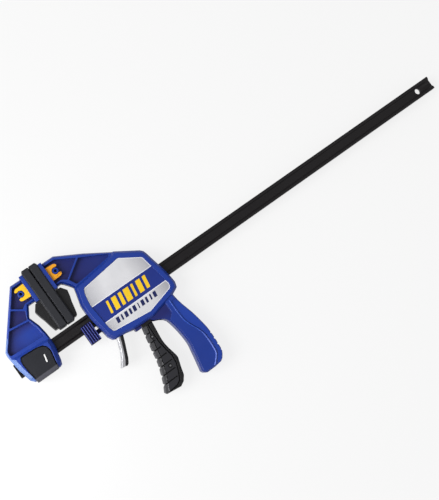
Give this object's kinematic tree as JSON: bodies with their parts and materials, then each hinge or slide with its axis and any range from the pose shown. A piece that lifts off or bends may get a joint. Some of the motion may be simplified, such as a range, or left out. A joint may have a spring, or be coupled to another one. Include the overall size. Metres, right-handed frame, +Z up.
{
  "type": "quick release bar clamp",
  "caption": "one-handed bar clamp: a pistol-grip head with squeeze trigger and release lever slides on a steel bar toward a fixed jaw, with clip-on soft pads",
  "frame": {"origin": "bottom centre of the closed clamp's bounding box, the clamp lying on its side", "axes": "+X along the bar from the fixed jaw toward the bar's free end, +Y across the bar toward the jaws' tips (the handle is toward -Y), +Z up, out of the clamp's front side"},
  "size_m": [0.706, 0.245, 0.032],
  "materials": {
    "blue_resin": "satin blue moulded resin",
    "black_resin": "satin black moulded resin",
    "pad_rubber": "dark grey soft pad",
    "grip_rubber": "dark grey soft grip",
    "clip_yellow": "yellow moulded resin",
    "clip_amber": "amber moulded resin",
    "white_resin": "white moulded resin",
    "label_silver": "silver film with a blue band",
    "bar_steel": "black coated steel",
    "pin_steel": "plain steel",
    "plate_steel": "hardened steel plate",
    "spring_steel": "spring wire",
    "lever_alloy": "cast alloy"
  },
  "bodies": {
    "bar": {"bar": "bar_steel", "fixed_jaw": "blue_resin", "jaw_lock_pin": "pin_steel", "jaw_foot_cap": "black_resin", "cap_indicator": "white_resin", "fixed_pad": "pad_rubber", "fixed_pad_carrier": "black_resin", "fixed_pad_clips": "clip_yellow"},
    "head": {"head_shell_front": "blue_resin", "head_shell_rear": "blue_resin", "label_front": "label_silver", "label_rear": "label_silver", "head_screws": "pin_steel", "guide_plates": "plate_steel", "trigger_pin": "pin_steel", "release_pin": "pin_steel", "moving_pad": "pad_rubber", "moving_pad_carrier": "black_resin", "moving_pad_clips": "clip_amber"},
    "trigger": {"trigger": "black_resin", "trigger_grip": "grip_rubber", "trigger_rivets": "pin_steel"},
    "drive_plates": {"drive_plates": "plate_steel", "drive_springs": "spring_steel"},
    "release_lever": {"release_lever": "lever_alloy", "release_lever_grip": "grip_rubber", "brake_spring": "spring_steel"},
    "thumb_slide": {"thumb_slide": "blue_resin"}
  },
  "joints": [
    {"name": "head_slide", "type": "slide", "parent": "bar", "child": "head", "axis": [1, 0, 0], "range_m": [0, 0.45]},
    {"name": "trigger_hinge", "type": "hinge", "parent": "head", "child": "trigger", "pos_m": [-0.1835, 0.0425, 0.016], "axis": [0, 0, 1], "range_deg": [0, 8.5], "stiffness_Nm_per_rad": 3, "springref_deg": -4.58},
    {"name": "drive_slide", "type": "slide", "parent": "head", "child": "drive_plates", "axis": [1, 0, 0], "range_m": [0, 0.0034]},
    {"name": "release_hinge", "type": "hinge", "parent": "head", "child": "release_lever", "pos_m": [-0.2125, 0.0395, 0.016], "axis": [0, 0, 1], "range_deg": [0, 4], "stiffness_Nm_per_rad": 4, "springref_deg": -4.58},
    {"name": "thumb_push", "type": "slide", "parent": "head", "child": "thumb_slide", "axis": [1, 0, 0], "range_m": [0, 0.0026]}
  ],
  "couplings": [
    {"joint": "drive_slide", "follows": "trigger_hinge", "m_per_rad": 0.022},
    {"joint": "thumb_push", "follows": "release_hinge", "m_per_rad": 0.036}
  ]
}
